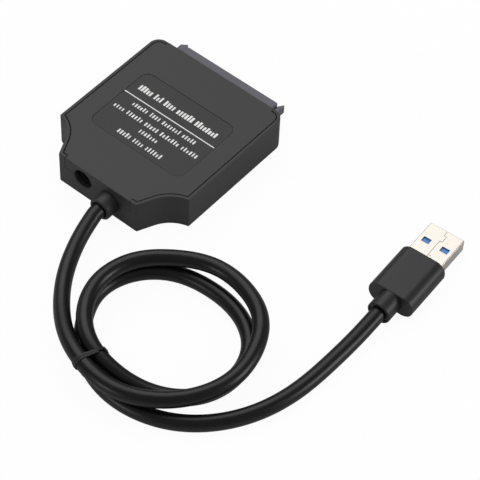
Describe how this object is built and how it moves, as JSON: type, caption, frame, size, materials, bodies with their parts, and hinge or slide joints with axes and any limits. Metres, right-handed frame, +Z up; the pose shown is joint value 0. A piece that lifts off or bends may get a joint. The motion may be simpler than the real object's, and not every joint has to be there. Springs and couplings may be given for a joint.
{
  "type": "usb to sata adapter",
  "caption": "Flat box with a drive connector at the front and, at the rear, a power socket and a looped, tied cable that ends in a USB plug.",
  "frame": {"origin": "middle of the box's underside, on the surface it stands on", "axes": "+Y towards the drive connector, +X towards the looped cable and the plug, +Z up"},
  "size_m": [0.1259, 0.1202, 0.0126],
  "materials": {
    "charcoal_abs": "fine satin texture",
    "label_film": "satin",
    "grey_violet_plastic": "satin",
    "green_laminate": "satin solder mask",
    "black_resin": "matt",
    "black_ferrite": "matt",
    "brushed_can": "satin",
    "nickel": "bright nickel plate",
    "gold_plate": "bright",
    "black_vinyl": "satin",
    "cable_jacket": "satin",
    "tie_film": "satin",
    "plug_vinyl": "satin",
    "blue_plastic": "satin",
    "red_insulation": "satin",
    "white_insulation": "satin",
    "green_insulation": "satin",
    "blue_insulation": "satin",
    "black_insulation": "satin"
  },
  "bodies": {
    "root": {"bottom_shell": "charcoal_abs", "top_lid": "charcoal_abs", "label_plate": "label_film", "sata_connector_body": "grey_violet_plastic", "circuit_board": "green_laminate", "bridge_chip": "black_resin", "memory_chip": "black_resin", "voltage_regulator": "black_resin", "power_diode": "black_resin", "power_inductor": "black_ferrite", "clock_crystal": "brushed_can", "input_capacitor": "brushed_can", "output_capacitor": "brushed_can", "dc_jack_body": "black_resin", "dc_jack_pin": "nickel", "dc_jack_spring": "nickel", "cable_boot": "black_vinyl", "inner_cable_end": "black_vinyl", "usb_cable": "cable_jacket", "twist_tie": "tie_film", "plug_overmould": "plug_vinyl", "usb_shell": "nickel", "usb_tongue": "blue_plastic", "red_lead": "red_insulation", "white_lead": "white_insulation", "green_lead": "green_insulation", "blue_lead": "blue_insulation", "black_lead": "black_insulation", "sata_signal_contact_1": "gold_plate", "sata_signal_contact_2": "gold_plate", "sata_signal_contact_3": "gold_plate", "sata_signal_contact_4": "gold_plate", "sata_signal_contact_5": "gold_plate", "sata_signal_contact_6": "gold_plate", "sata_signal_contact_7": "gold_plate", "sata_power_contact_1": "gold_plate", "sata_power_contact_2": "gold_plate", "sata_power_contact_3": "gold_plate", "sata_power_contact_4": "gold_plate", "sata_power_contact_5": "gold_plate", "sata_power_contact_6": "gold_plate", "sata_power_contact_7": "gold_plate", "sata_power_contact_8": "gold_plate", "sata_power_contact_9": "gold_plate", "sata_power_contact_10": "gold_plate", "sata_power_contact_11": "gold_plate", "sata_power_contact_12": "gold_plate", "sata_power_contact_13": "gold_plate", "sata_power_contact_14": "gold_plate", "sata_power_contact_15": "gold_plate", "usb_flat_contact_1": "gold_plate", "usb_flat_contact_2": "gold_plate", "usb_flat_contact_3": "gold_plate", "usb_flat_contact_4": "gold_plate", "usb_fast_contact_1": "gold_plate", "usb_fast_contact_2": "gold_plate", "usb_fast_contact_3": "gold_plate", "usb_fast_contact_4": "gold_plate", "usb_fast_contact_5": "gold_plate"}
  },
  "joints": []
}
